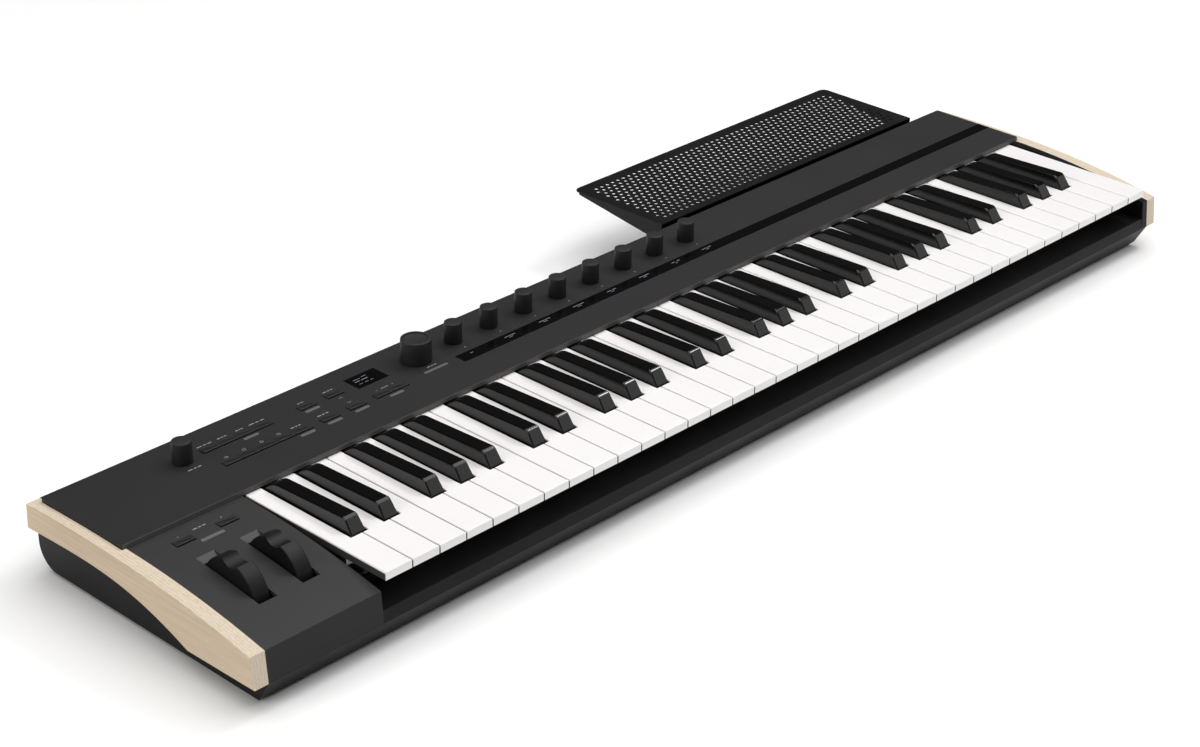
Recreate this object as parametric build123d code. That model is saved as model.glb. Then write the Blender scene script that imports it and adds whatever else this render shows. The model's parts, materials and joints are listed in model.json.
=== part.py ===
from build123d import *
import os
from math import cos, radians, sin

# 61-key synthesizer.  The model is drawn with X = 0 half way along the case, Y = 0 at the
# fronts of the natural keys and Z = 0 on their tops; place() then moves every piece so that
# the origin is the bottom centre of the whole object.  All lengths are millimetres.

# overall case
half_length = 488.3          # outer face of each wooden end
wood_thickness = 11.5
case_half = half_length - wood_thickness
case_bottom = -53.2
case_wall = 3.0
foot_height = 3.0
foot_radius = 8.0
front_face = -1.3            # foremost point of the front rail
rail_bottom = -35.8
rail_top = -27.0
recess_depth = 30.0          # how far the gap under the keys runs in
rear_wall = 236.5
rear_top = 229.8
corner_radius = 18.0         # lower rear corner of the case

# keyboard
key_pitch = 23.58
keys_left = -380.3           # origin of every x measured along the keyboard
key_shift = 1.0              # the first natural's left side, from keys_left
key_gap = 1.0
key_visible = 137.2
natural_thickness = 6.2
sharp_front = 49.1
notch_front = 47.6
sharp_height = 10.0         # at the corner of the nose; the top falls towards the back
sharp_base = 12.4
sharp_top = 11.0
octave_width = 7 * key_pitch
pivot_y = 185.0
pivot_z = -9.0
pivot_rod_radius = 1.5
boss_radius = 4.5
arm_width = 9.0
key_dip_deg = 3.1
octaves = 5
single_octave = 2            # the octave whose keys are separate bodies

# top panel
panel_half = 479.6
panel_back = 224.7
panel_bottom = 1.0
panel_top = 4.6

# control rows on the panel (x from the first natural's left side)
button_width = 15.2
button_depth = 6.1
button_gap = 0.3
button_rise = 1.0
button_travel = 0.6
front_row_y = 173.2
back_row_y = 197.2
function_x = 12.0
cursor_x = (97.3, 122.2)
page_x = 147.0
octave_button_x = (-72.1, -36.7)
octave_button_y = 118.7
deck_button_top = 1.9

knob_y = 197.7
first_knob_x = 245.6
knob_pitch = 36.07
knob_count = 8
knob_radius = 6.6
knob_height = 15.9
volume_x, volume_y, volume_radius = -4.7, 196.1, 7.0
encoder_x, encoder_y, encoder_radius, encoder_height = 206.3, 194.8, 11.5, 17.5
shaft_radius = 3.0

display_x = (147.4, 176.3)
display_y = (190.3, 208.0)
strip_left, strip_y = 229.4, (167.6, 179.2)
window_depth = 1.2

# bend and modulation wheels
wheel_x = (-64.0, -28.7)
wheel_y, wheel_z = 66.9, -14.3
wheel_radius = 26.0
wheel_width = 12.4
wheel_axle_radius = 2.5
slot_width = 14.6
slot_front, slot_back = 35.6, 98.2

# removable rear shelf
shelf_left, shelf_right = 505.6, 828.0
shelf_front, shelf_back = 230.2, 329.6
sheet = 0.8
hole_radius = 1.65
hole_pitch_x, hole_pitch_y = 6.52, 5.54
hole_rows = 15
hole_first_x, hole_first_y = 517.1, 240.0
tongue_x = (566.0, 767.0)
tongue_width = 30.0
tongue_bottom = -31.7

# rear sockets
socket_x = (-360.0, -330.0, -270.0, -240.0)
socket_z = -27.5
jack_radius = 3.25
jack_depth = 24.0
usb_x = -200.0
power_x = -150.0
power_radius = 4.5

depth_middle = (front_face - 0.1 + shelf_back) / 2
ground = case_bottom - foot_height


def kx(x):
    """x measured along the keyboard, in the drawing frame."""
    return keys_left + x


def place(shape):
    return Pos(0, -depth_middle, -ground) * shape


def block(x0, x1, y0, y1, z0, z1):
    return Pos((x0 + x1) / 2, (y0 + y1) / 2, (z0 + z1) / 2) * Box(x1 - x0, y1 - y0, z1 - z0)


def slab(points, x0, x1):
    """A straight-sided outline of (y, z) points, extruded along X."""
    outline = Polyline(*points, close=True)
    return extrude(Plane.YZ.offset(x0) * make_face(outline), amount=x1 - x0)


def curved_slab(edges, x0, x1):
    return extrude(Plane.YZ.offset(x0) * make_face(edges), amount=x1 - x0)


def rod_x(x0, x1, y, z, radius):
    return Pos((x0 + x1) / 2, y, z) * Rot(0, 90, 0) * Cylinder(radius, x1 - x0)


def rod_y(x, y0, y1, z, radius):
    return Pos(x, (y0 + y1) / 2, z) * Rot(90, 0, 0) * Cylinder(radius, y1 - y0)


def rod_z(x, y, z0, z1, radius):
    return Pos(x, y, (z0 + z1) / 2) * Cylinder(radius, z1 - z0)


def save(name, pieces):
    pieces = pieces if isinstance(pieces, list) else [pieces]
    solids = [solid for piece in pieces for solid in place(piece).solids()]
    shape = solids[0] if len(solids) == 1 else Compound(children=solids)
    export_step(shape, "parts/" + name + ".step")


# ---------------------------------------------------------------- case and ends

def top_curve(drop=0.0):
    """The falling line of the ends and of the left deck, from the front edge to the panel."""
    return ThreePointArc((0.7 + drop * 0.9, -12.5 - drop), (66, -2.8 - drop), (132, 1.3 - drop))


def wood_end(side):
    edges = [
        Line((-1.4, -35.9), (0.7, -12.5)),
        top_curve(),
        ThreePointArc((132, 1.3), (176, 2.0), (229.8, 0.7)),
        Line((229.8, 0.7), (230.4, -17.7)),
        Spline((230.4, -17.7), (160, -16.2), (119, -20.4), (92, -27.0), (64, -37.0)),
        Line((64, -37.0), (-1.4, -35.9)),
    ]
    end = curved_slab(edges, case_half, half_length)
    rebate = block(case_half - 1, panel_half + 0.3, key_visible - 0.3, panel_back + 0.3,
                   panel_bottom, 9)
    end = fillet(end.faces().sort_by(Axis.X)[-1].edges(), 0.9) - rebate
    return end if side > 0 else mirror(end, about=Plane.YZ)


def tub_section():
    """Outside of the tub, seen along X, without the front rail's upper part."""
    bend = corner_radius * cos(radians(45))
    centre_y, centre_z = rear_wall - corner_radius, case_bottom + corner_radius
    return [
        Line((9.1, case_bottom), (centre_y, case_bottom)),
        ThreePointArc((centre_y, case_bottom), (centre_y + bend, centre_z - bend),
                      (rear_wall, centre_z)),
        Line((rear_wall, centre_z), (rear_wall, -9.5)),
        Line((rear_wall, -9.5), (rear_top, panel_bottom)),
    ]


def lower_case():
    top = -20.0
    section = tub_section()[:2] + [
        Line((rear_wall, case_bottom + corner_radius), (rear_wall, top)),
        Line((rear_wall, top), (recess_depth, top)),
        Line((recess_depth, top), (recess_depth, rail_top)),
        Line((recess_depth, rail_top), (0, rail_top)),
        Line((0, rail_top), (front_face, rail_bottom)),
        Line((front_face, rail_bottom), (9.1, case_bottom)),
    ]
    case = curved_slab(section, -case_half, case_half)
    inner_y, inner_z = rear_wall - case_wall, case_bottom + case_wall
    bend = (corner_radius - case_wall) * cos(radians(45))
    centre_y, centre_z = rear_wall - corner_radius, case_bottom + corner_radius
    hollow = [
        Line((11.5, inner_z), (centre_y, inner_z)),
        ThreePointArc((centre_y, inner_z), (centre_y + bend, centre_z - bend), (inner_y, centre_z)),
        Line((inner_y, centre_z), (inner_y, 5)),
        Line((inner_y, 5), (recess_depth + case_wall, 5)),
        Line((recess_depth + case_wall, 5), (recess_depth + case_wall, rail_top - case_wall)),
        Line((recess_depth + case_wall, rail_top - case_wall), (3.2, rail_top - case_wall)),
        Line((3.2, rail_top - case_wall), (2.2, rail_bottom)),
        Line((2.2, rail_bottom), (11.5, inner_z)),
    ]
    case -= curved_slab(hollow, -case_half + case_wall, case_half - case_wall)
    case -= block(-case_half - 1, kx(-2.0), front_face - 5, recess_depth + 4, rail_bottom + 0.2, 0)
    rear = [(rear_wall, top), (rear_wall, -9.5), (rear_top, panel_bottom), (216, panel_bottom),
            (216, -1.5), (225.5, -1.5), (inner_y, -10.5), (inner_y, top)]
    case += slab(rear, -case_half, case_half)
    side = tub_section() + [
        Line((rear_top, panel_bottom), (140, panel_bottom - 0.2)),
        Line((140, panel_bottom - 0.2), (110, -2.6)),
        Line((110, -2.6), (66, -6.4)),
        Line((66, -6.4), (30, -11.4)),
        Line((30, -11.4), (4.5, -17.0)),
        Line((4.5, -17.0), (front_face + 2.8, rail_bottom)),
        Line((front_face + 2.8, rail_bottom), (front_face, rail_bottom)),
        Line((front_face, rail_bottom), (9.1, case_bottom)),
    ]
    case += curved_slab(side, -case_half, -case_half + case_wall)
    case += curved_slab(side, case_half - case_wall, case_half)
    return finish_case(case + right_cheek())


def right_cheek():
    edges = [
        Line((front_face, rail_bottom), (0.7, -12.5)),
        top_curve(),
        Line((132, 1.3), (key_visible - 0.4, 0.9)),
        Line((key_visible - 0.4, 0.9), (160, 0.9)),
        Line((160, 0.9), (160, -20)),
        Line((160, -20), (recess_depth + 2, rail_bottom)),
        Line((recess_depth + 2, rail_bottom), (front_face, rail_bottom)),
    ]
    return curved_slab(edges, kx(850.7), case_half)


def finish_case(case):
    for x, y in screw_places():
        case -= rod_z(x, y, case_bottom - 1, case_bottom + 5, 1.6)
        case -= rod_z(x, y, case_bottom - 1, case_bottom + 1.9, 3.3)
    for x in socket_x:
        case -= rod_y(x, 230, 240, socket_z, 5.7)
    case -= block(usb_x - 4.8, usb_x + 4.8, 230, 240, socket_z - 1.9, socket_z + 1.9)
    case -= rod_y(power_x, 230, 240, socket_z, power_radius + 0.3)
    for x in tongue_x:
        case += shelf_pocket(kx(x))
    return case


def shelf_pocket(x):
    """An open-topped pocket behind the rear wall that takes one tongue of the shelf."""
    wide = tongue_width / 2 + 0.5
    outer = block(x - wide - 2, x + wide + 2, rear_wall - 1, rear_wall + 4.2, -34, -14)
    return outer - block(x - wide, x + wide, rear_wall, rear_wall + 2.2, -32, -10)


def screw_places():
    return [(x, y) for x in (-360, -120, 120, 360) for y in (48, 208)]


def rubber_feet():
    return [rod_z(x, y, ground, case_bottom, foot_radius)
            for x in (-440, 440) for y in (28, 204)]


def case_screws():
    screws = []
    for x, y in screw_places():
        head = rod_z(x, y, case_bottom + 0.3, case_bottom + 1.9, 2.9)
        drive = Pos(x, y, case_bottom + 0.3) * extrude(RegularPolygon(1.3, 6), amount=1)
        screws.append(head + rod_z(x, y, case_bottom + 1.5, -43.5, 1.5) - drive)
    return screws


# ---------------------------------------------------------------- top panel and deck

def button_spots():
    """Name, left side, centre line and seat height of every button on the top."""
    spots = [("function_button_%d" % (i + 1), function_x + i * button_width, back_row_y)
             for i in range(4)]
    spots += [("function_button_%d" % (i + 5), function_x + i * button_width, front_row_y)
              for i in range(5)]
    spots += [("menu_button", cursor_x[0], back_row_y), ("cursor_up_button", cursor_x[1], back_row_y),
              ("enter_button", cursor_x[0], front_row_y),
              ("cursor_down_button", cursor_x[1], front_row_y),
              ("page_down_button", page_x, front_row_y),
              ("page_up_button", page_x + button_width - 0.1, front_row_y)]
    spots = [spot + (panel_top,) for spot in spots]
    deck = [("octave_down_button", octave_button_x[0]), ("octave_up_button", octave_button_x[1])]
    return spots + [(name, x, octave_button_y, deck_button_top - button_rise) for name, x in deck]


def button_opening(x, y, width, top):
    return block(kx(x) - 0.3, kx(x + width) + 0.2, y - button_depth / 2 - 0.5,
                 y + button_depth / 2 + 0.25, -6, top + 3)


def knob_spots():
    """Name, x, y, radius and height of every knob."""
    spots = [("volume_knob", volume_x, volume_y, volume_radius, knob_height),
             ("value_encoder_knob", encoder_x, encoder_y, encoder_radius, encoder_height)]
    return spots + [("control_knob_%d" % (i + 1), first_knob_x + i * knob_pitch, knob_y,
                     knob_radius, knob_height) for i in range(knob_count)]


def top_panel():
    panel = block(-panel_half, panel_half, key_visible, panel_back, panel_bottom, panel_top)
    panel = fillet(panel.edges().filter_by(Axis.Z), 1.5)
    panel = fillet(panel.faces().sort_by(Axis.Z)[-1].edges(), 0.6)
    panel -= button_opening(function_x, back_row_y, 4 * button_width, panel_top)
    panel -= button_opening(function_x, front_row_y, 5 * button_width, panel_top)
    for x in cursor_x:
        for y in (front_row_y, back_row_y):
            panel -= button_opening(x, y, button_width, panel_top)
    panel -= button_opening(page_x, front_row_y, 2 * button_width - 0.1, panel_top)
    for name, x, y, radius, height in knob_spots():
        panel -= rod_z(kx(x), y, 0, 9, shaft_radius + 0.6)
    panel -= block(kx(display_x[0]), kx(display_x[1]), *display_y, panel_top - window_depth, 9)
    panel -= block(kx(display_x[0]) + 2, kx(display_x[1]) - 2, display_y[0] + 2, display_y[1] - 2, 0, 9)
    panel -= block(kx(strip_left), panel_half + 1, *strip_y, panel_top - window_depth, 9)
    return panel


def panel_windows():
    height = (panel_top - window_depth, panel_top - 0.1)
    display = block(kx(display_x[0]) + 0.1, kx(display_x[1]) - 0.1,
                    display_y[0] + 0.1, display_y[1] - 0.1, *height)
    strip = block(kx(strip_left) + 0.1, panel_half - 0.1, strip_y[0] + 0.1, strip_y[1] - 0.1, *height)
    return [display, strip]


def deck_height(y):
    """Height of the deck's top at y, from the circle of top_curve."""
    arc = top_curve()
    centre = arc.arc_center
    return centre.Y + (arc.radius ** 2 - (y - centre.X) ** 2) ** 0.5


def left_deck():
    skin = 2.6
    left, right = -case_half + 0.05, kx(-2.1)
    edges = [
        Line((front_face, rail_bottom + 0.3), (0.7, -12.5)),
        top_curve(),
        Line((132, 1.3), (key_visible - 0.4, 0.95)),
        Line((key_visible - 0.4, 0.95), (156, 0.95)),
        Line((156, 0.95), (156, 0.95 - skin)),
        Line((156, 0.95 - skin), (132, 1.3 - skin)),
        top_curve(skin),
        Line((0.7 + skin * 0.9, -12.5 - skin), (front_face + skin, rail_bottom + 0.3)),
        Line((front_face + skin, rail_bottom + 0.3), (front_face, rail_bottom + 0.3)),
    ]
    deck = curved_slab(edges, left + case_wall, right)
    wall = edges[:4] + [Line((156, 0.95), (156, -34)), Line((156, -34), (34, -34)),
                        Line((34, -34), (34, rail_bottom + 0.3)),
                        Line((34, rail_bottom + 0.3), (front_face, rail_bottom + 0.3))]
    deck += curved_slab(wall, right - skin, right)
    deck += curved_slab(edges[:4] + [
        Line((156, 0.95), (140, 0.85)), Line((140, 0.85), (110, -2.5)), Line((110, -2.5), (66, -6.3)),
        Line((66, -6.3), (30, -11.3)), Line((30, -11.3), (4.4, -16.9)),
        Line((4.4, -16.9), (front_face + 2.7, rail_bottom + 0.3)),
        Line((front_face + 2.7, rail_bottom + 0.3), (front_face, rail_bottom + 0.3))],
        left, left + case_wall)
    for x in wheel_x:
        deck = wheel_slot(deck, kx(x))
    for x in octave_button_x:
        deck -= button_opening(x, octave_button_y, button_width, deck_button_top)
    return deck


def wheel_slot(deck, x):
    """A slot with a sloping apron at the back and a small bevel at the front."""
    apron = 92.9
    back, front = deck_height(slot_back), deck_height(slot_front)
    x0, x1 = x - slot_width / 2, x + slot_width / 2
    deck += slab([(apron, -6.0), (apron, -3.4), (slot_back, back - 1.2),
                  (slot_back + 3, back - 1.5), (slot_back + 3, -4.5)], x0 - 1.2, x1 + 1.2)
    deck -= block(x0, x1, slot_front + 2.2, apron, -20, 4)
    deck -= slab([(apron - 1, -3.6), (slot_back, back), (slot_back, 6), (apron - 1, 6)], x0, x1)
    return deck - slab([(slot_front, front), (slot_front + 3, front - 1.9), (slot_front + 3, 4),
                        (slot_front, 4)], x0, x1)


# ---------------------------------------------------------------- controls

def button(x, y, top):
    """A cap with a soft front edge and a foot flange below the panel."""
    x0, x1 = kx(x) + button_gap / 2, kx(x + button_width) - button_gap / 2
    y0, y1 = y - button_depth / 2, y + button_depth / 2
    cap = slab([(y0, top - 4.3), (y0, top + button_rise - 0.4), (y0 + 0.5, top + button_rise),
                (y1 - 0.4, top + button_rise - 0.35), (y1, top + button_rise - 0.8),
                (y1, top - 4.3)], x0, x1)
    return cap


def knob(x, y, radius, height, seat):
    """A slightly tapered cap on its shaft, which turns in the housing below."""
    x = kx(x)
    seat += 0.3
    cap = Pos(x, y, seat) * extrude(Circle(radius + 0.25), amount=height, taper=0.9)
    cap = fillet(cap.faces().sort_by(Axis.Z)[-1].edges(), 0.5)
    return cap + rod_z(x, y, -10.5, seat + 1, shaft_radius)


def encoder(x, y, radius, height, seat):
    cap = knob(x, y, radius, height, seat)
    dish = rod_z(kx(x), y, seat + 0.3 + height - 0.9, seat + 40, radius - 1.6)
    return cap - dish


def wheel(x):
    """A disc with a finger scoop across the rim at its middle position."""
    x0, x1 = kx(x) - wheel_width / 2, kx(x) + wheel_width / 2
    disc = rod_x(x0, x1, wheel_y, wheel_z, wheel_radius)
    disc = fillet(disc.edges(), 0.8)
    scoop = rod_x(x0 - 1, x1 + 1, wheel_y - 2.2, wheel_z + wheel_radius + 4.4, 9.2)
    lower = block(x0 - 1, x1 + 1, 0, 130, -60, wheel_z - 18.5)
    return disc - scoop - lower - rod_x(x0 - 1, x1 + 1, wheel_y, wheel_z, wheel_axle_radius + 0.05)


def wheel_bracket():
    left, right = kx(wheel_x[0]) - wheel_width / 2, kx(wheel_x[1]) + wheel_width / 2
    middle = (kx(wheel_x[0]) + kx(wheel_x[1])) / 2
    bracket = block(left - 5, right + 5, 48, 86, -50.2, -48.2)
    for x in (left - 4, middle, right + 4):
        bracket += slab([(50, -49), (60, -9), (74, -9), (84, -49)], x - 1, x + 1)
    return bracket + rod_x(left - 4, right + 4, wheel_y, wheel_z, wheel_axle_radius)


def power_button():
    """Pushed in from behind through the rear wall."""
    cap = rod_y(power_x, rear_wall - 8, rear_wall + 2.2, socket_z, power_radius)
    cap = fillet(cap.faces().sort_by(Axis.Y)[-1].edges(), 0.5)
    return cap + rod_y(power_x, rear_wall - 9.5, rear_wall - 7.5, socket_z, power_radius + 1.5)


# ---------------------------------------------------------------- keys

def rear_slots():
    """Left side and width of the twelve equal key channels at the back of an octave."""
    low, high = 3 * key_pitch / 5, 4 * key_pitch / 7
    slots = [(i * low, low) for i in range(5)]
    return slots + [(3 * key_pitch + i * high, high) for i in range(7)]


natural_channels = (0, 2, 4, 5, 7, 9, 11)
sharp_channels = (1, 3, 6, 8, 10)
note_names = ("c", "c_sharp", "d", "d_sharp", "e", "f", "f_sharp", "g", "g_sharp", "a", "a_sharp", "b")


def key_arm(centre, front):
    """The tail that runs back under the panel to the pivot rod."""
    x0, x1 = centre - arm_width / 2, centre + arm_width / 2
    arm = slab([(front, -6), (front, -13), (150, -14), (pivot_y, -13.5), (pivot_y, -4.5),
                (150, -4.5)], x0, x1)
    arm += rod_x(x0, x1, pivot_y, pivot_z, boss_radius)
    return arm - rod_x(x0 - 1, x1 + 1, pivot_y, pivot_z, pivot_rod_radius + 0.05)


def natural_key(channel, last=False):
    """A natural with its left side at x = 0 of its octave's white spacing."""
    number = natural_channels.index(channel)
    left, right = number * key_pitch + key_gap / 2, (number + 1) * key_pitch - key_gap / 2
    start, width = rear_slots()[channel]
    rear_left, rear_right = start + key_gap / 2, start + width - key_gap / 2
    if last:
        rear_right = right
    tail = 150
    corners = [(left, 0), (right, 0), (right, notch_front), (rear_right, notch_front),
               (rear_right, tail), (rear_left, tail), (rear_left, notch_front), (left, notch_front)]
    corners = [c for i, c in enumerate(corners) if c != corners[i - 1]]
    if abs(rear_left - left) < 0.01:
        corners = [c for c in corners if c != (left, notch_front)]
    if abs(rear_right - right) < 0.01:
        corners = [c for c in corners if c != (right, notch_front)]
    plate = Pos(0, 0, -natural_thickness) * extrude(
        make_face(Polyline(*corners, close=True)), amount=natural_thickness)
    plate = fillet(plate.faces().sort_by(Axis.Z)[-1].edges(), 0.8)
    return plate + key_arm(start + width / 2, 40)


def sharp_key(channel):
    start, width = rear_slots()[channel]
    centre = start + width / 2
    half, crest = sharp_base / 2, sharp_top / 2
    back = key_visible - 1.6
    outline = [(sharp_front + 0.5, -6.5), (sharp_front, 0), (56, sharp_height), (127.5, 7.2),
               (back, 1.0), (back, -6.5)]
    body = slab(outline, centre - half, centre + half)
    slope = (half - crest) / sharp_height
    for side in (-1, 1):
        face = [(centre + side * half, 0), (centre + side * (half - slope * 16), 16),
                (centre + side * (half + 5), 16), (centre + side * (half + 5), 0)]
        wedge = extrude(Plane.XZ.offset(-200) * make_face(Polyline(*face, close=True)), amount=200)
        body -= wedge
    nose = [e for e in body.edges() if e.bounding_box().size.X > 9 and e.bounding_box().min.Z > 9]
    body = fillet(nose, 4.0)
    heel = [e for e in body.edges() if e.bounding_box().size.X > 9
            and e.bounding_box().min.Y > 120 and 7.0 < e.bounding_box().min.Z < 7.4]
    body = fillet(heel, 14.0)
    crown = [e for e in body.edges()
             if e.bounding_box().min.Z > 0.3 and e.bounding_box().size.X < 2
             and e.bounding_box().size.Y > 0.1]
    body = fillet(crown, 1.0)
    return body + key_arm(centre, 60)


def key_sets():
    """Keys of the separate octave by name, and the two banks that hold the others."""
    naturals = {c: natural_key(c) for c in natural_channels}
    sharps = {c: sharp_key(c) for c in sharp_channels}
    single, white, black = {}, [], []
    for octave in range(octaves):
        shift = Pos(kx(key_shift) + octave * octave_width, 0, 0)
        for channel in range(12):
            keys = naturals if channel in naturals else sharps
            key = shift * keys[channel]
            if octave == single_octave:
                single["key_" + note_names[channel]] = key
            elif channel in naturals:
                white.append(key)
            else:
                black.append(key)
    white.append(Pos(kx(key_shift) + octaves * octave_width, 0, 0) * natural_key(0, last=True))
    return single, white, black


def arm_centres():
    centres = [key_shift + octave * octave_width + start + width / 2
               for octave in range(octaves) for start, width in rear_slots()]
    return centres + [key_shift + octaves * octave_width + rear_slots()[0][1] / 2]


def keybed_chassis():
    left, right = kx(-1.4), kx(850.3)
    chassis = block(left, right, 36, 214, -45.2, -43.2)
    chassis += block(left, right, 34, 36, -45.2, -20.5)
    web = [(158, -44), (172, -4), (190.3, -4), (190.3, -16), (204, -44)]
    for number in range(octaves + 1):
        x = kx(key_shift + number * octave_width - (0.6 if number == 0 else 0))
        chassis += slab(web, x - 1.1, x + 1.1)
    chassis += slab(web, right - 2.2, right)
    chassis -= rod_x(left - 1, right + 1, pivot_y, pivot_z, pivot_rod_radius + 0.02)
    for x, y in screw_places():
        chassis += rod_z(x, y, -50.1, -44, 4)
        chassis -= rod_z(x, y, -51, -40, 1.55)
    return chassis


def key_pivot_rod():
    return rod_x(kx(-1.6), kx(850.5), pivot_y, pivot_z, pivot_rod_radius)


def key_spring_comb():
    """One strip of spring steel with a finger under every key."""
    comb = block(kx(2), kx(842), 140, 147, -43.1, -42.5)
    for x in arm_centres():
        finger = slab([(146, -43.1), (147, -43.1), (178.4, -14.6), (178.4, -14.0), (177.6, -14.2),
                       (146, -42.5)], kx(x) - 2.5, kx(x) + 2.5)
        comb += finger
    return comb


# ---------------------------------------------------------------- electronics

def circuit_boards():
    """Panel board with switches and shaft housings, key contact board and logic board."""
    board = block(kx(-16), kx(512), 164, 211, -2.7, -1.1)
    pieces = []
    for name, x, y, radius, height in knob_spots():
        centre = kx(x)
        board -= rod_z(centre, y, -4, 0, shaft_radius + 0.6)
        housing = block(centre - 6, centre + 6, y - 4.4, y + 6.4, -13, -2.7)
        pieces.append(housing - rod_z(centre, y, -11.2, 0, shaft_radius + 0.08))
    pieces.append(board)
    for name, x, y, top in button_spots():
        under = top - 4.3 - button_travel - 0.1
        middle = kx(x + button_width / 2)
        floor = -1.1 if top == panel_top else under - 2
        pieces.append(block(middle - 3, middle + 3, y - 2.4, y + 2.4, floor, under))
    small = block(kx(-75), kx(-18), octave_button_y - 5, octave_button_y + 5, -8.7, -7.1)
    pieces.append(small)
    pieces.append(block(kx(0), kx(844), 100, 134, -42.0, -40.4))
    pieces.append(block(kx(-76), kx(-8), 108, 200, -46.2, -44.6))
    return pieces


def rear_sockets():
    pieces = []
    for x in socket_x:
        body = block(x - 7, x + 7, 208, rear_wall - case_wall, socket_z - 7, socket_z + 7)
        collar = rod_y(x, rear_wall - case_wall - 1, rear_wall + 1, socket_z, 5.6)
        pieces.append(body + collar - rod_y(x, rear_wall + 1 - jack_depth, rear_wall + 2, socket_z,
                                            jack_radius))
    body = block(usb_x - 6, usb_x + 6, 222, rear_wall - case_wall, socket_z - 3, socket_z + 3)
    body += block(usb_x - 4.7, usb_x + 4.7, 230, rear_wall, socket_z - 1.8, socket_z + 1.8)
    body -= block(usb_x - 4.2, usb_x + 4.2, rear_wall - 6.5, rear_wall + 1, socket_z - 1.3, socket_z + 1.3)
    pieces.append(body + block(usb_x - 3.2, usb_x + 3.2, rear_wall - 7, rear_wall - 1,
                               socket_z - 0.3, socket_z + 0.3))
    pieces.append(block(power_x - 7, power_x + 7, 216, rear_wall - 11.3, socket_z - 7, socket_z + 7))
    return pieces


# ---------------------------------------------------------------- rear shelf

def rear_shelf():
    """A perforated tray of sheet steel with gusset wings and two tongues."""
    left, right = kx(shelf_left), kx(shelf_right)
    top = panel_top
    plate = block(left, right, shelf_front, shelf_back, top - sheet, top)
    rear = plate.edges().filter_by(Axis.Z).group_by(Axis.Y)[-1]
    plate = fillet(rear, 6)
    tiny = Plane.XY.offset(top - sheet) * hole_field()
    plate -= extrude(tiny, amount=sheet)
    wing = [(shelf_front, top), (shelf_back - 6.5, top), (shelf_back - 6.5, top - 2.4),
            (247, -8.9), (rear_wall + 0.7, -10.4), (rear_wall + 0.7, -9.2), (shelf_front, 1.4)]
    plate += slab(wing, left, left + sheet) + slab(wing, right - sheet, right)
    back = rear_wall + 0.7
    plate += block(left, right, back, back + sheet, -7.5, top)
    for x in tongue_x:
        half = tongue_width / 2
        plate += block(kx(x) - half, kx(x) + half, back, back + sheet, tongue_bottom, top)
    return plate


def hole_field():
    """Staggered rows of round holes, every second row half a pitch over and one hole shorter."""
    spots = []
    columns = 47
    for row in range(hole_rows):
        offset = row % 2 == 0
        for column in range(columns - 1 if offset else columns):
            x = kx(hole_first_x) + (column + 0.5 * offset) * hole_pitch_x
            spots.append((x, hole_first_y + row * hole_pitch_y))
    return Sketch(children=[loc * Circle(hole_radius) for loc in Locations(*spots)])


def build_all():
    save("lower_case", lower_case())
    save("top_panel", top_panel())
    save("left_deck", left_deck())
    save("wood_end_left", wood_end(-1))
    save("wood_end_right", wood_end(1))
    save("panel_windows", panel_windows())
    save("keybed_chassis", keybed_chassis())
    save("key_pivot_rod", key_pivot_rod())
    save("key_spring_comb", key_spring_comb())
    save("circuit_boards", circuit_boards())
    save("wheel_bracket", wheel_bracket())
    save("rubber_feet", rubber_feet())
    save("rear_sockets", rear_sockets())
    save("case_screws", case_screws())
    save("rear_shelf", rear_shelf())
    save("pitch_wheel", wheel(wheel_x[0]))
    save("modulation_wheel", wheel(wheel_x[1]))
    save("power_button", power_button())
    for name, x, y, radius, height in knob_spots():
        maker = encoder if name == "value_encoder_knob" else knob
        save(name, maker(x, y, radius, height, panel_top))
    for name, x, y, top in button_spots():
        save(name, button(x, y, top))
    single, white, black = key_sets()
    for name, key in single.items():
        save(name, key)
    save("natural_key_bank", white)
    save("sharp_key_bank", black)


if __name__ == "__main__":
    os.makedirs("parts", exist_ok=True)
    build_all()
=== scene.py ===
import json
import math
import bpy
import bmesh
from mathutils import Matrix, Vector


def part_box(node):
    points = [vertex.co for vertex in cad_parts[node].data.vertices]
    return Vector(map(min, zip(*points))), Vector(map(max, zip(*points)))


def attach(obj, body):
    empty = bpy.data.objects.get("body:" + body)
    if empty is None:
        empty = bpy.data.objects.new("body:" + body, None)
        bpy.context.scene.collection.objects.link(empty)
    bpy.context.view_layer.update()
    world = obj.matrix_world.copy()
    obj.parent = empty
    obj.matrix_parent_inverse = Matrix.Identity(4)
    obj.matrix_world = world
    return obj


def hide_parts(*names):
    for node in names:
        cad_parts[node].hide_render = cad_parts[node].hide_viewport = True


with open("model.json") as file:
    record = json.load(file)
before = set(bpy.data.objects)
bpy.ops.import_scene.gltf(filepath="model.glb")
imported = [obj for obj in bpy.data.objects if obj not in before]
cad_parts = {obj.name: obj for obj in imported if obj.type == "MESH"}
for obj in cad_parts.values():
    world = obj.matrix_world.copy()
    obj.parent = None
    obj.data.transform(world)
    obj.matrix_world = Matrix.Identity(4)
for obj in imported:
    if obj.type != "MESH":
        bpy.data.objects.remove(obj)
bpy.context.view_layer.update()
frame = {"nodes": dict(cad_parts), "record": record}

nodes = frame["nodes"]
mm = 0.001
surfaceGap = 0.01 * mm       # how far a printed mark sinks into the surface below it
caseBody = "case"
print("frame loaded with", len(nodes), "nodes")

# camera first, on the player's left and a little above the keys
cameraLook = {
    "place": (-1.3032, -1.2340, 0.9324),
    "right": (0.69445, -0.71951, 0.00707),
    "up": (0.32834, 0.32562, 0.88666),
    "lens": 79.0,
    "shiftX": 0.0009,
}


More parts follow.
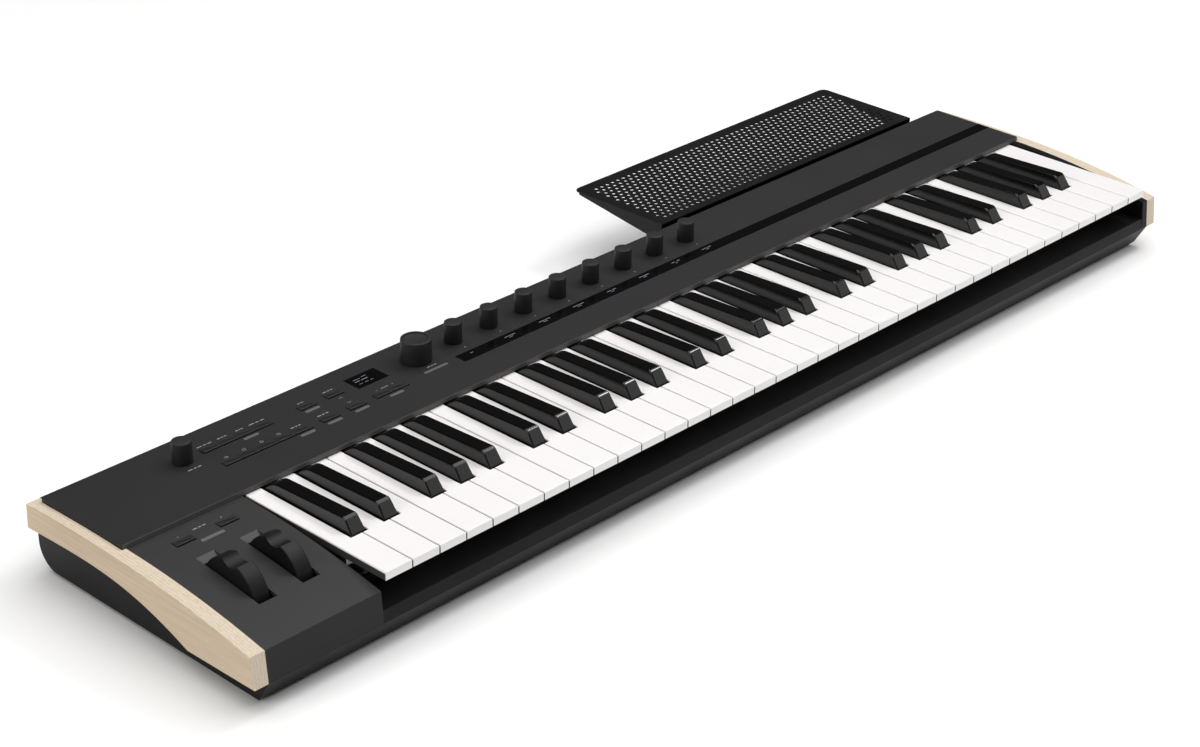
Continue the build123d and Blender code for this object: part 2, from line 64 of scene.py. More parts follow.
def makeCamera(look):
    data = bpy.data.cameras.new("studioCamera")
    camera = bpy.data.objects.new("studioCamera", data)
    bpy.context.scene.collection.objects.link(camera)
    right, up = Vector(look["right"]).normalized(), Vector(look["up"]).normalized()
    back = right.cross(up)
    turned = Matrix((right, up, back)).transposed().to_4x4()
    camera.matrix_world = Matrix.Translation(look["place"]) @ turned
    data.lens, data.sensor_width = look["lens"], 36.0
    data.shift_x = look["shiftX"]
    data.clip_start, data.clip_end = 0.05, 60.0
    bpy.context.scene.camera = camera


makeCamera(cameraLook)
print("camera placed")


# ---- small helpers for modelling

def onlySelect(piece):
    for other in list(bpy.context.selected_objects):
        other.select_set(False)
    bpy.context.view_layer.objects.active = piece
    piece.select_set(True)


def openEdit(piece, kind="FACE"):
    onlySelect(piece)
    bpy.ops.object.mode_set(mode="EDIT")
    bpy.ops.mesh.select_mode(type=kind)
    bpy.ops.mesh.select_all(action="DESELECT")


def closeEdit():
    bpy.ops.object.mode_set(mode="OBJECT")


def pickFaces(piece, test):
    bpy.ops.mesh.select_all(action="DESELECT")
    shape = bmesh.from_edit_mesh(piece.data)
    for face in shape.faces:
        face.select_set(test(face.calc_center_median(), face.normal))
    bmesh.update_edit_mesh(piece.data)


def pickEdges(piece, test):
    bpy.ops.mesh.select_all(action="DESELECT")
    shape = bmesh.from_edit_mesh(piece.data)
    for edge in shape.edges:
        edge.select_set(test(edge.verts[0].co, edge.verts[1].co))
    bmesh.update_edit_mesh(piece.data)


def settle(piece, smoothDegrees=None):
    onlySelect(piece)
    bpy.ops.object.transform_apply(location=True, rotation=True, scale=True)
    if smoothDegrees:
        bpy.ops.object.shade_smooth_by_angle(angle=math.radians(smoothDegrees))


def named(piece, name, material):
    piece.name = name
    piece.data.name = name
    piece.data.materials.clear()
    piece.data.materials.append(material)
    return piece


def copyTo(master, name, shift):
    twin = master.copy()
    twin.data = master.data.copy()
    bpy.context.scene.collection.objects.link(twin)
    twin.data.transform(Matrix.Translation(shift))
    twin.name = twin.data.name = name
    return twin


def joinAll(pieces, name, material):
    onlySelect(pieces[0])
    for piece in pieces:
        piece.select_set(True)
    bpy.ops.object.join()
    return named(bpy.context.object, name, material)


# ---- materials

def startMaterial(name):
    material = bpy.data.materials.new(name)
    material.use_nodes = True
    tree = material.node_tree
    shader = tree.nodes["Principled BSDF"]
    where = tree.nodes.new("ShaderNodeTexCoord").outputs["Object"]
    return material, tree, shader, where


def addNoise(tree, where, scale, detail=3.0, rough=0.55, stretch=None):
    if stretch:
        mapping = tree.nodes.new("ShaderNodeMapping")
        mapping.inputs["Scale"].default_value = stretch
        tree.links.new(where, mapping.inputs["Vector"])
        where = mapping.outputs["Vector"]
    noise = tree.nodes.new("ShaderNodeTexNoise")
    noise.inputs["Scale"].default_value = scale
    noise.inputs["Detail"].default_value = detail
    noise.inputs["Roughness"].default_value = rough
    tree.links.new(where, noise.inputs["Vector"])
    return noise.outputs["Fac"]


def addRamp(tree, factor, stops):
    ramp = tree.nodes.new("ShaderNodeValToRGB")
    marks = ramp.color_ramp.elements
    marks[0].position, marks[0].color = stops[0][0], (*stops[0][1], 1)
    marks[1].position, marks[1].color = stops[-1][0], (*stops[-1][1], 1)
    for place, color in stops[1:-1]:
        marks.new(place).color = (*color, 1)
    tree.links.new(factor, ramp.inputs["Fac"])
    return ramp.outputs["Color"]


def addRange(tree, factor, low, high, fromLow=0.3, fromHigh=0.7):
    spread = tree.nodes.new("ShaderNodeMapRange")
    spread.inputs["From Min"].default_value = fromLow
    spread.inputs["From Max"].default_value = fromHigh
    spread.inputs["To Min"].default_value = low
    spread.inputs["To Max"].default_value = high
    tree.links.new(factor, spread.inputs["Value"])
    return spread.outputs["Result"]


def addBump(tree, shader, height, depth, strength=1.0, under=None):
    bump = tree.nodes.new("ShaderNodeBump")
    bump.inputs["Distance"].default_value = depth
    bump.inputs["Strength"].default_value = strength
    tree.links.new(height, bump.inputs["Height"])
    if under:
        tree.links.new(under, bump.inputs["Normal"])
    tree.links.new(bump.outputs["Normal"], shader.inputs["Normal"])
    return bump.outputs["Normal"]


# painted light and shade: another colour on the faces whose normal points forward, between two
# values of its Y, standing in for how light falls on them
def paintLightShadeByFacing(tree, color, paintedLightTints):
    paintedLightByFacing = tree.nodes.new("ShaderNodeSeparateXYZ")
    normal = tree.nodes.new("ShaderNodeNewGeometry").outputs["Normal"]
    tree.links.new(normal, paintedLightByFacing.inputs["Vector"])
    for low, high, paintedLightTint in paintedLightTints:
        mix = tree.nodes.new("ShaderNodeMix")
        mix.data_type = "RGBA"
        tree.links.new(addRange(tree, paintedLightByFacing.outputs["Y"], 1.0, 0.0, low, high), mix.inputs[0])
        tree.links.new(color, mix.inputs[6])
        mix.inputs[7].default_value = (*paintedLightTint, 1)
        color = mix.outputs[2]
    return color


def mouldedPlastic(name, look):
    material, tree, shader, where = startMaterial(name)
    cloud = addNoise(tree, where, 14, 2)
    speck = addNoise(tree, where, look["grain"], 2, 0.6)
    color = addRamp(tree, speck, [(0.32, look["dark"]), (0.68, look["light"])])
    # painted light and shade on forward-facing faces is mixed into the base colour here
    tree.links.new(paintLightShadeByFacing(tree, color, look.get("paintedLightByFacing", ())), shader.inputs["Base Color"])
    tree.links.new(addRange(tree, cloud, *look["rough"]), shader.inputs["Roughness"])
    addBump(tree, shader, speck, look["depth"], look.get("bump", 0.5))
    shader.inputs["Specular IOR Level"].default_value = look.get("specular", 0.5)
    shader.inputs["Metallic"].default_value = look.get("metal", 0.0)
    return material


plasticLooks = {
    "casePlastic": {"dark": (0.0040, 0.0039, 0.0041), "light": (0.0072, 0.0070, 0.0072),
                    "rough": (0.40, 0.50), "grain": 1500, "depth": 0.00004, "specular": 0.14},
    "panelPlastic": {"dark": (0.0102, 0.0098, 0.0099), "light": (0.0160, 0.0152, 0.0154),
                     "rough": (0.52, 0.60), "grain": 2400, "depth": 0.00006, "specular": 0.36,
                     # painted light: the panel's forward-facing front face is made lighter
                     "paintedLightByFacing": ((-0.85, -0.7, (0.085, 0.082, 0.082)),)},
    "deckPlastic": {"dark": (0.0220, 0.0214, 0.0214), "light": (0.0315, 0.0306, 0.0306),
                    "rough": (0.50, 0.58), "grain": 2400, "depth": 0.00006, "specular": 0.30,
                    # painted sheen: forward-sloping faces such as the apron are made lighter;
                    # painted shade: the front face is made darker
                    "paintedLightByFacing": ((-0.45, -0.35, (0.062, 0.061, 0.060)),
                               (-0.85, -0.7, (0.007, 0.0068, 0.0069)))},
    "controlPlastic": {"dark": (0.0105, 0.0103, 0.0105), "light": (0.0165, 0.0162, 0.0165),
                       "rough": (0.50, 0.60), "grain": 2600, "depth": 0.00005, "specular": 0.4},
    "buttonPlastic": {"dark": (0.0120, 0.0117, 0.0119), "light": (0.0175, 0.0171, 0.0173),
                      "rough": (0.42, 0.5), "grain": 2600, "depth": 0.00004, "specular": 0.45,
                      # painted shade: the buttons' front faces are made darker
                      "paintedLightByFacing": ((-0.7, -0.5, (0.0012, 0.0012, 0.0012)),)},
    "wheelPlastic": {"dark": (0.0045, 0.0044, 0.0045), "light": (0.0080, 0.0078, 0.0079),
                     "rough": (0.44, 0.52), "grain": 1800, "depth": 0.00003, "specular": 0.25},
    "socketPlastic": {"dark": (0.012, 0.012, 0.012), "light": (0.018, 0.018, 0.018),
                      "rough": (0.38, 0.48), "grain": 1800, "depth": 0.00004},
    "footRubber": {"dark": (0.012, 0.012, 0.012), "light": (0.02, 0.02, 0.02),
                   "rough": (0.8, 0.9), "grain": 1200, "depth": 0.00015, "specular": 0.3},
    "shelfSteel": {"dark": (0.0035, 0.0035, 0.0037), "light": (0.0065, 0.0065, 0.0067),
                   "rough": (0.40, 0.50), "grain": 2000, "depth": 0.00009, "specular": 0.2},
    "chassisSteel": {"dark": (0.15, 0.155, 0.16), "light": (0.19, 0.195, 0.20), "rough": (0.4, 0.5),
                     "grain": 260, "depth": 0.00002},
    "brightSteel": {"dark": (0.56, 0.56, 0.57), "light": (0.64, 0.64, 0.65), "rough": (0.18, 0.3),
                    "grain": 900, "depth": 0.00001, "metal": 1.0},
    "windowBlack": {"dark": (0.0010, 0.0010, 0.0011), "light": (0.0016, 0.0016, 0.0017),
                    "rough": (0.06, 0.10), "grain": 60, "depth": 0.00001, "bump": 0.1},
    "printGrey": {"dark": (0.21, 0.21, 0.21), "light": (0.28, 0.28, 0.28), "rough": (0.55, 0.65),
                  "grain": 5000, "depth": 0.00001},
    "badgeGrey": {"dark": (0.085, 0.084, 0.084), "light": (0.115, 0.114, 0.114),
                  "rough": (0.55, 0.65), "grain": 5000, "depth": 0.00001},
    "legendWhite": {"dark": (0.16, 0.165, 0.185), "light": (0.22, 0.225, 0.245),
                    "rough": (0.4, 0.5), "grain": 4000, "depth": 0.00001},
}


def keyMaterial(name, look):
    material, tree, shader, where = startMaterial(name)
    cloud = addNoise(tree, where, 9, 2)
    fine = addNoise(tree, where, look["grain"], 2)
    color = addRamp(tree, cloud, [(0.3, look["dark"]), (0.7, look["light"])])
    side = tree.nodes.new("ShaderNodeNewGeometry").outputs["Normal"]
    parts = tree.nodes.new("ShaderNodeSeparateXYZ")
    tree.links.new(side, parts.inputs["Vector"])
    if "lowerSideColor" in look:          # sides facing left or right are darker below a line set under the key top
        spots = tree.nodes.new("ShaderNodeSeparateXYZ")
        tree.links.new(where, spots.inputs["Vector"])
        flank = tree.nodes.new("ShaderNodeMath")
        flank.operation = "ABSOLUTE"
        tree.links.new(parts.outputs["X"], flank.inputs[0])
        both = tree.nodes.new("ShaderNodeMath")
        both.operation = "MULTIPLY"
        tree.links.new(addRange(tree, flank.outputs[0], 0.0, 1.0, 0.75, 0.9), both.inputs[0])
        below = addRange(tree, spots.outputs["Z"], 1.0, 0.0, look["sideColorLine"],
                         look["sideColorLine"] + 0.2 * mm)
        tree.links.new(below, both.inputs[1])
        mix = tree.nodes.new("ShaderNodeMix")
        mix.data_type = "RGBA"
        tree.links.new(both.outputs[0], mix.inputs[0])
        tree.links.new(color, mix.inputs[6])
        mix.inputs[7].default_value = (*look["lowerSideColor"], 1)
        color = mix.outputs[2]
    tree.links.new(color, shader.inputs["Base Color"])
    upward = addRange(tree, parts.outputs["Z"], look["sideRough"], look["topRough"], 0.2, 0.8)
    tree.links.new(upward, shader.inputs["Roughness"])
    addBump(tree, shader, fine, look["depth"], 0.3)
    shader.inputs["Specular IOR Level"].default_value = look["specular"]
    shader.inputs["Coat Weight"].default_value = look["coat"]
    shader.inputs["Coat Roughness"].default_value = 0.08
    return material


keyLooks = {
    "keyWhite": {"dark": (0.865, 0.84, 0.83), "light": (0.89, 0.868, 0.858), "grain": 700,
                 # the key sides get a darker colour below a line 1.3 mm under the top
                 "lowerSideColor": (0.045, 0.043, 0.043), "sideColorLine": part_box("key_c")[1].z - 1.3 * mm,
                 "depth": 0.00002, "sideRough": 0.34, "topRough": 0.24, "specular": 0.5,
                 "coat": 0.25},
    "keyBlack": {"dark": (0.0018, 0.0017, 0.0017), "light": (0.0030, 0.0028, 0.0028), "grain": 900,
                 "depth": 0.00002, "sideRough": 0.20, "topRough": 0.12, "specular": 0.5,
                 "coat": 0.0},
}

woodLook = {
    "faceDark": (0.487, 0.372, 0.25), "faceMid": (0.567, 0.448, 0.312),
    "faceLight": (0.63, 0.51, 0.378),
    "edgeDark": (0.52, 0.41, 0.30), "edgeMid": (0.61, 0.51, 0.39), "edgeLight": (0.69, 0.60, 0.48),
    "plyScale": 137, "rough": (0.46, 0.58),
}


def woodMaterial(look):
    material, tree, shader, where = startMaterial("paleWood")
    streak = addNoise(tree, where, 1.0, 4, 0.6, (90, 14, 420))     # fibres along the length
    figure = addNoise(tree, where, 1.0, 3, 0.5, (20, 9, 26))       # broad soft figure
    flecks = addNoise(tree, where, 1.0, 2, 0.6, (900, 260, 900))
    blend = tree.nodes.new("ShaderNodeMix")
    blend.data_type = "FLOAT"
    blend.inputs[0].default_value = 0.45
    tree.links.new(figure, blend.inputs[2])
    tree.links.new(streak, blend.inputs[3])
    face = addRamp(tree, blend.outputs[0],
                   [(0.34, look["faceDark"]), (0.5, look["faceMid"]), (0.66, look["faceLight"])])
    layers = tree.nodes.new("ShaderNodeTexWave")
    layers.bands_direction = "X"
    layers.inputs["Scale"].default_value = look["plyScale"]
    layers.inputs["Distortion"].default_value = 0.6
    layers.inputs["Detail"].default_value = 2
    layers.inputs["Detail Scale"].default_value = 2
    tree.links.new(where, layers.inputs["Vector"])
    edgeMix = tree.nodes.new("ShaderNodeMix")
    edgeMix.data_type = "FLOAT"
    edgeMix.inputs[0].default_value = 0.8
    tree.links.new(layers.outputs["Fac"], edgeMix.inputs[2])
    tree.links.new(flecks, edgeMix.inputs[3])
    edge = addRamp(tree, edgeMix.outputs[0],
                   [(0.2, look["edgeDark"]), (0.42, look["edgeMid"]), (0.7, look["edgeLight"])])
    parts = tree.nodes.new("ShaderNodeSeparateXYZ")
    normal = tree.nodes.new("ShaderNodeNewGeometry").outputs["Normal"]
    tree.links.new(normal, parts.inputs["Vector"])
    sideways = tree.nodes.new("ShaderNodeMath")
    sideways.operation = "ABSOLUTE"
    tree.links.new(parts.outputs["X"], sideways.inputs[0])
    onFace = addRange(tree, sideways.outputs[0], 0.0, 1.0, 0.55, 0.8)
    both = tree.nodes.new("ShaderNodeMix")
    both.data_type = "RGBA"
    tree.links.new(onFace, both.inputs[0])
    tree.links.new(edge, both.inputs[6])
    tree.links.new(face, both.inputs[7])
    tree.links.new(both.outputs[2], shader.inputs["Base Color"])
    tree.links.new(addRange(tree, figure, *look["rough"]), shader.inputs["Roughness"])
    addBump(tree, shader, streak, 0.00008, 0.5)
    shader.inputs["Specular IOR Level"].default_value = 0.35
    return material


def boardMaterial():
    material, tree, shader, where = startMaterial("circuitBoard")
    pads = tree.nodes.new("ShaderNodeTexBrick")
    pads.inputs["Scale"].default_value = 90
    pads.inputs["Mortar Size"].default_value = 0.03
    pads.inputs["Color1"].default_value = (0.012, 0.11, 0.045, 1)
    pads.inputs["Color2"].default_value = (0.016, 0.14, 0.055, 1)
    pads.inputs["Mortar"].default_value = (0.02, 0.19, 0.08, 1)
    tree.links.new(where, pads.inputs["Vector"])
    tree.links.new(pads.outputs["Color"], shader.inputs["Base Color"])
    cloud = addNoise(tree, where, 40, 2)
    tree.links.new(addRange(tree, cloud, 0.3, 0.42), shader.inputs["Roughness"])
    addBump(tree, shader, pads.outputs["Fac"], 0.00003, 0.4)
    return material


materials = {name: mouldedPlastic(name, look) for name, look in plasticLooks.items()}
materials.update({name: keyMaterial(name, look) for name, look in keyLooks.items()})
materials["paleWood"] = woodMaterial(woodLook)
materials["circuitBoard"] = boardMaterial()

finishOf = {
    "case_plastic": "casePlastic", "panel_plastic": "panelPlastic", "deck_plastic": "deckPlastic",
    "pale_wood": "paleWood", "window_black": "windowBlack", "chassis_steel": "chassisSteel",
    "bright_steel": "brightSteel", "circuit_board": "circuitBoard", "foot_rubber": "footRubber",
    "socket_plastic": "socketPlastic", "shelf_steel": "shelfSteel", "key_white": "keyWhite",
    "key_black": "keyBlack", "control_plastic": "controlPlastic",
}
for part in frame["record"]["subparts"]:
    isWheel = part["node"].endswith("_wheel")
    look = materials["wheelPlastic" if isWheel else finishOf[part["material_slot"]]]
    mesh = nodes[part["node"]].data
    for place in range(len(mesh.materials)):
        mesh.materials[place] = look
print("materials made:", len(materials))


# ---- knobs

knobLook = {"around": 72, "rim": 0.55 * mm, "skirt": 1.035, "shaft": 3.0 * mm, "gap": 0.3 * mm,
            "dishEdge": 1.5 * mm, "dishDepth": 0.9 * mm, "dishRim": 0.25 * mm, "footRim": 0.3 * mm,
            "smooth": 35}
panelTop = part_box("top_panel")[1].z


def makeKnob(name, dished):
    low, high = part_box(name)
    radius = (high.x - low.x) / 2
    centre = Vector(((low.x + high.x) / 2, (low.y + high.y) / 2, 0))
    foot = panelTop + knobLook["gap"]
    height = high.z - foot
    bpy.ops.mesh.primitive_cylinder_add(vertices=knobLook["around"], radius=radius, depth=height,
                                        location=(centre.x, centre.y, foot + height / 2))
    piece = bpy.context.object
    settle(piece)
    openEdit(piece)
    pickFaces(piece, lambda c, n: n.z > 0.9)
    bpy.ops.transform.resize(value=(1 / knobLook["skirt"],) * 2 + (1,), center_override=(
        centre.x, centre.y, high.z))
    bpy.ops.mesh.bevel(offset=knobLook["rim"], segments=4, affect="EDGES")
    if dished:
        pickFaces(piece, lambda c, n: n.z > 0.999)
        bpy.ops.mesh.inset(thickness=knobLook["dishEdge"])
        bpy.ops.mesh.extrude_region_move(TRANSFORM_OT_translate={
            "value": (0, 0, -knobLook["dishDepth"])})
        bpy.ops.mesh.bevel(offset=knobLook["dishRim"], segments=3, affect="EDGES")
    pickFaces(piece, lambda c, n: n.z < -0.9)
    bpy.ops.mesh.bevel(offset=knobLook["footRim"], segments=2, affect="EDGES")
    pickFaces(piece, lambda c, n: n.z < -0.999)
    bpy.ops.mesh.inset(thickness=radius - knobLook["shaft"] - knobLook["footRim"])
    bpy.ops.mesh.extrude_region_move(TRANSFORM_OT_translate={"value": (0, 0, low.z - foot)})
    closeEdit()
    settle(piece, knobLook["smooth"])
    named(piece, name + "Cap", materials["controlPlastic"])
    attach(piece, name)
    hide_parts(name)


knobNames = [n for n in nodes if n.endswith("_knob") or n.startswith("control_knob")]
for name in knobNames:
    makeKnob(name, dished=name == "value_encoder_knob")
print("knobs:", len(knobNames))


# ---- buttons, one master and its copies

buttonLook = {"corner": 0.45 * mm, "front": 0.4 * mm, "fall": 0.35 * mm, "dishEdge": 0.9 * mm,
              "dishDepth": 0.12 * mm, "smooth": 40}


def makeButtons():
    names = [n for n in nodes
             if n.endswith("_button") and n != "power_button" or n.startswith("function_button")]
    low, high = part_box(names[0])
    size, middle = high - low, (low + high) / 2
    bpy.ops.mesh.primitive_cube_add(size=1, location=middle, scale=size)
    master = bpy.context.object
    settle(master)
    openEdit(master, "EDGE")
    pickEdges(master, lambda a, b: min(a.z, b.z) > high.z - mm and min(a.y, b.y) > high.y - mm)
    bpy.ops.transform.translate(value=(0, 0, -buttonLook["fall"]))
    pickEdges(master, lambda a, b: abs(a.z - b.z) > mm)
    bpy.ops.mesh.bevel(offset=buttonLook["corner"], segments=3, affect="EDGES")
    pickFaces(master, lambda c, n: n.z > 0.9)
    bpy.ops.mesh.bevel(offset=buttonLook["front"], segments=3, affect="EDGES")
    pickFaces(master, lambda c, n: n.z > 0.99)
    bpy.ops.mesh.inset(thickness=buttonLook["dishEdge"])
    bpy.ops.transform.translate(value=(0, 0, -buttonLook["dishDepth"]))     # for the fingertip
    closeEdit()
    settle(master, buttonLook["smooth"])
    named(master, names[0] + "Cap", materials["buttonPlastic"])
    made = [master] + [copyTo(master, name + "Cap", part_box(name)[0] - low) for name in names[1:]]
    for name, piece in zip(names, made):
        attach(piece, name)
        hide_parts(name)
    return names


buttonNames = makeButtons()
print("buttons:", len(buttonNames))


# ---- printed marks, each a thin raised shape on the panel, the deck or the windows

printLook = {
    "thick": 0.03 * mm, "labelTall": 1.0 * mm, "labelOff": 6.7 * mm,
    "badgeTall": 2.8 * mm, "badgeWide": 12.6 * mm, "badgeOff": 6.6 * mm,
    "dot": 0.6 * mm, "dotOff": 12.6 * mm, "square": 2.1 * mm, "squareLine": 0.38 * mm,
    "signLong": 1.5 * mm, "signThin": 0.4 * mm,
    "arrowOff": 7.3 * mm, "arrowHalf": 0.75 * mm, "arrowLong": 2.2 * mm, "arrowThin": 0.42 * mm,
    "arrowTurn": 42, "wordShares": (0.34, 0.20, 0.26),
}


def bar(x, y, z, width, tall, round=0.35):
    bpy.ops.mesh.primitive_plane_add(size=1, location=(x, y, z), scale=(1, 1, 1))
    piece = bpy.context.object
    piece.scale = (width, tall, 1)
    settle(piece)
    openEdit(piece, "VERT")
    bpy.ops.mesh.select_all(action="SELECT")
    bpy.ops.mesh.bevel(offset=min(width, tall) * round, segments=3, affect="VERTICES")
    bpy.ops.mesh.select_all(action="SELECT")
    bpy.ops.mesh.extrude_region_move(TRANSFORM_OT_translate={"value": (0, 0, printLook["thick"])})
    closeEdit()
    return piece


# short dashes of uneven length that stand in for a printed word
def dashes(x, y, z, width, tall):
    shares, start, made = printLook["wordShares"], x - width / 2, []
    gap = width * (1 - sum(shares)) / 2
    for share in shares:
        made.append(bar(start + share * width / 2, y, z, share * width, tall, 0.2))
        start += share * width + gap
    return made


def disc(x, y, z, radius, sides=20):
    bpy.ops.mesh.primitive_circle_add(vertices=sides, radius=radius, fill_type="NGON",
                                      location=(x, y, z))
    piece = bpy.context.object
    settle(piece)
    openEdit(piece)
    bpy.ops.mesh.select_all(action="SELECT")
    bpy.ops.mesh.extrude_region_move(TRANSFORM_OT_translate={"value": (0, 0, printLook["thick"])})
    bpy.ops.mesh.inset(thickness=radius * 0.12)
    closeEdit()
    return piece


def turned(piece, degrees, x, y):
    spin = Matrix.Rotation(math.radians(degrees), 4, "Z")
    piece.data.transform(Matrix.Translation((x, y, 0)) @ spin @ Matrix.Translation((-x, -y, 0)))
    return piece


def centreOf(name):
    low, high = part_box(name)
    return (low.x + high.x) / 2, (low.y + high.y) / 2


labelWidths = {    # length in millimetres of the plain bar above each button
    "function_button_1": 12.6, "function_button_2": 8.0, "function_button_3": 6.4,
    "function_button_4": 13.4, "function_button_9": 8.8, "menu_button": 5.4,
    "cursor_up_button": 9.0, "enter_button": 9.8,
}
badgeNames = ["function_button_3", "function_button_9", "menu_button", "enter_button",
              "cursor_down_button"]


def signMark(x, y, z, plus):
    long, thin = printLook["signLong"], printLook["signThin"]
    return [bar(x, y, z, long, thin)] + ([bar(x, y, z, thin, long)] if plus else [])


def squareMark(x, y, z):
    size, line = printLook["square"], printLook["squareLine"]
    return [bar(x + dx * size / 2, y + dy * size / 2, z,
                line if dx else size, line if dy else size, 0.2)
            for dx, dy in ((0, 1), (0, -1), (1, 0), (-1, 0))]


def arrowMark(x, y, z, way):
    long, thin, half = printLook["arrowLong"], printLook["arrowThin"], printLook["arrowHalf"]
    return [turned(bar(x + side * half, y, z, long, thin), -side * way * printLook["arrowTurn"],
                   x + side * half, y) for side in (-1, 1)]


def badge(x, y, z):
    return bar(x, y - printLook["badgeOff"], z, printLook["badgeWide"], printLook["badgeTall"])


controlMarks = {        # marks beside the two large knobs and the page buttons, from their centres
    "encoderWord": (1.8 * mm, -14.4 * mm, 8.8 * mm),
    "encoderBadge": (1.5 * mm, -19.5 * mm, 22.6 * mm, 2.4 * mm),
    "volumeWord": (0.0, -13.0 * mm, 11 * mm),
    "pageWord": 6.4 * mm,
}


def printPanel():
    z = panelTop - surfaceGap
    light, grey = [], []
    tall, off = printLook["labelTall"], printLook["labelOff"]
    for name, width in labelWidths.items():
        x, y = centreOf(name)
        light += dashes(x, y + off, z, width * mm, tall)
    for name in badgeNames:
        grey.append(badge(*centreOf(name), z))
    for number in range(5, 9):          # outline squares over the front row
        x, y = centreOf("function_button_%d" % number)
        light += squareMark(x, y + off, z)
    for name, way in (("cursor_up_button", 1), ("cursor_down_button", -1)):
        x, y = centreOf(name)
        light += arrowMark(x, y - way * printLook["arrowOff"], z, way)
    x, y = centreOf("page_down_button")
    right, y = centreOf("page_up_button")
    light += signMark(x, y + off, z, False) + signMark(right, y + off, z, True)
    light += dashes((x + right) / 2, y + off, z, controlMarks["pageWord"], tall)
    grey.append(badge((x + right) / 2, y, z))
    x, y = centreOf("value_encoder_knob")
    dx, dy, wide = controlMarks["encoderWord"]
    light += dashes(x + dx, y + dy, z, wide, tall)
    dx, dy, wide, high = controlMarks["encoderBadge"]
    grey.append(bar(x + dx, y + dy, z, wide, high))
    x, y = centreOf("volume_knob")
    dx, dy, wide = controlMarks["volumeWord"]
    light += dashes(x + dx, y + dy, z, wide, tall)
    for number in range(1, 9):
        x, y = centreOf("control_knob_%d" % number)
        light.append(disc(x, y - printLook["dotOff"], z, printLook["dot"]))
    return light, grey


deckLook = {"signOff": 6.4 * mm, "wordOff": 6.8 * mm, "word": 10.4 * mm, "badgeOff": 7.4 * mm,
            "badge": (18.8 * mm, 3.2 * mm), "probe": 20 * mm, "reach": 7 * mm}


def deckHeight(x, y):
    return nodes["left_deck"].ray_cast((x + deckLook["probe"], y, 0.5), (0, 0, -1))[1].z


def printDeck():
    left, y = centreOf("octave_down_button")
    right, y = centreOf("octave_up_button")
    z = deckHeight(left, y)
    middle, off, reach = (left + right) / 2, deckLook["signOff"], deckLook["reach"]
    light = signMark(left, y + off, z, False) + signMark(right, y + off, z, True)
    light += dashes(middle, y + deckLook["wordOff"], z, deckLook["word"], printLook["labelTall"])
    grey = [bar(middle, y - deckLook["badgeOff"], z, *deckLook["badge"])]
    rise = math.atan2(deckHeight(left, y + reach) - deckHeight(left, y - reach), 2 * reach)
    lean = (Matrix.Translation((0, y, z)) @ Matrix.Rotation(rise, 4, "X")
            @ Matrix.Translation((0, -y, -z)))
    for piece in light + grey:
        piece.data.transform(lean)
    return light, grey


stripLook = {           # plain bars under the knobs: place, share of the width, height
    "widths": (5.6, 11.5, 13.0, 13.0, 9.5, 12.0, 8.0, 10.5),
    "first": (-2.6 * mm, 7.6 * mm, 0.5, 0.75 * mm),
    "more": ((3.0 * mm, 7.6 * mm, 0.42, 0.75 * mm), (-0.6 * mm, 5.6 * mm, 0.34, 0.6 * mm)),
    "shortWord": 6,
}


def printWindows():
    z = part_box("panel_windows")[1].z - surfaceGap
    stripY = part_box("panel_windows")[0].y
    marks = []
    for number, width in enumerate(stripLook["widths"], 1):
        x, y = centreOf("control_knob_%d" % number)
        rows = (stripLook["first"],) + (stripLook["more"] if width > stripLook["shortWord"] else ())
        marks += [bar(x + dx, stripY + dy, z, width * share * mm, tall)
                  for dx, dy, share, tall in rows]
    return marks


readoutLook = {         # millimetres from the display's front left corner: left, y, length, height
    "frontOff": 6.8 * mm,
    "lines": ((5.0, 12.2, 6.4, 0.6), (13.4, 13.2, 4.6, 0.6), (4.4, 9.4, 4.8, 0.8),
              (10.4, 9.4, 6.0, 0.8), (5.0, 5.2, 3.2, 0.5), (10.2, 5.2, 3.4, 0.5),
              (15.4, 5.2, 2.8, 0.5)),
}


def showReadout():
    front = centreOf("cursor_up_button")[1] - readoutLook["frontOff"]
    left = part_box("panel_windows")[0].x
    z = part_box("panel_windows")[1].z - surfaceGap
    return [bar(left + (x + long / 2) * mm, front + y * mm, z, long * mm, tall * mm)
            for x, y, long, tall in readoutLook["lines"]]


panelLight, panelGrey = printPanel()
deckLight, deckGrey = printDeck()
prints = [joinAll(panelLight, "panelLabels", materials["printGrey"]),
          joinAll(panelGrey, "panelBadges", materials["badgeGrey"]),
          joinAll(deckLight, "deckLabels", materials["printGrey"]),
          joinAll(deckGrey, "deckBadge", materials["badgeGrey"]),
          joinAll(printWindows(), "stripMarks", materials["legendWhite"]),
          joinAll(showReadout(), "readoutMarks", materials["legendWhite"])]
for piece in prints:
    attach(piece, caseBody)
print("printed marks:", len(prints))


# ---- floor and light

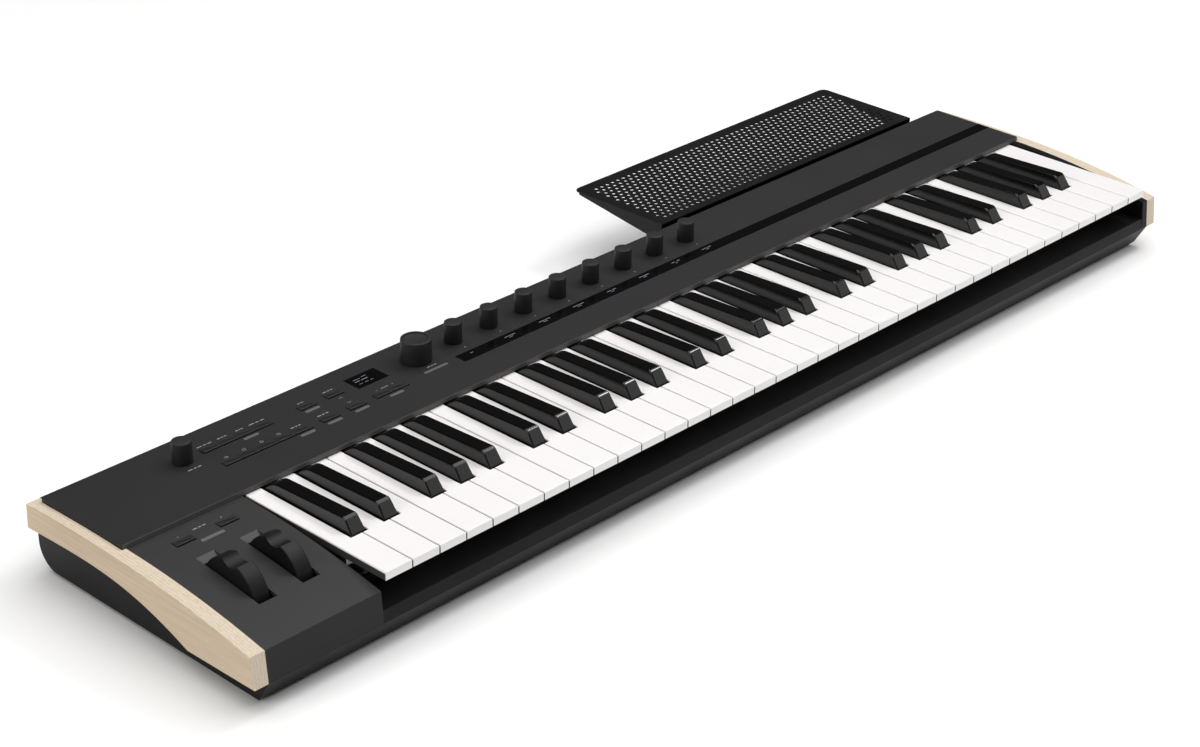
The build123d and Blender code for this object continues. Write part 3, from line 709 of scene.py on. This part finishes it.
stageLook = {"floor": (0.90, 0.90, 0.895), "floorLight": (0.92, 0.92, 0.915), "wide": 16,
             "world": (0.93, 0.95, 1.0), "worldStrength": 0.04}


def makeFloor():
    bpy.ops.mesh.primitive_plane_add(size=stageLook["wide"], location=(0, 0, -0.2 * mm))
    floor = bpy.context.object
    material, tree, shader, where = startMaterial("paleFloor")
    cloud = addNoise(tree, where, 3, 2)
    shade = addRamp(tree, cloud, [(0.3, stageLook["floor"]), (0.7, stageLook["floorLight"])])
    tree.links.new(shade, shader.inputs["Base Color"])
    shader.inputs["Roughness"].default_value = 0.9
    shader.inputs["Specular IOR Level"].default_value = 0.1
    named(floor, "studioFloor", material)


lightLooks = {
    "overhead": {"place": (0.6, -0.5, 4.0), "aim": (0.6, -0.5, 0), "size": (6.4, 6.0),
                 "power": 258},
    "leftFill": {"place": (-3.3, 0.3, 1.5), "aim": (0, 0, 0), "size": (2.6, 1.8), "power": 45},
    "sparkle": {"place": (1.86, -0.42, 2.35), "aim": (0, 0, 0), "size": (0.7, 0.35), "power": 16},
    "frontCard": {"place": (2.3, -2.4, 1.5), "aim": (0, 0, 0), "size": (2.4, 1.8), "power": 12},
}


def makeLight(name, look):
    data = bpy.data.lights.new(name, "AREA")
    data.shape = "RECTANGLE"
    data.size, data.size_y = look["size"]
    data.energy = look["power"]
    lamp = bpy.data.objects.new(name, data)
    bpy.context.scene.collection.objects.link(lamp)
    lamp.location = look["place"]
    lamp.rotation_mode = "QUATERNION"
    ray = Vector(look["aim"]) - Vector(look["place"])
    lamp.rotation_quaternion = ray.to_track_quat("-Z", "Y")


def makeStudio():
    makeFloor()
    for name, look in lightLooks.items():
        makeLight(name, look)
    world = bpy.data.worlds.new("softStudio")
    bpy.context.scene.world = world
    world.use_nodes = True
    sky = world.node_tree.nodes["Background"]
    sky.inputs["Color"].default_value = (*stageLook["world"], 1)
    sky.inputs["Strength"].default_value = stageLook["worldStrength"]
    bpy.context.scene.view_settings.view_transform = "Standard"


makeStudio()
print("studio ready")
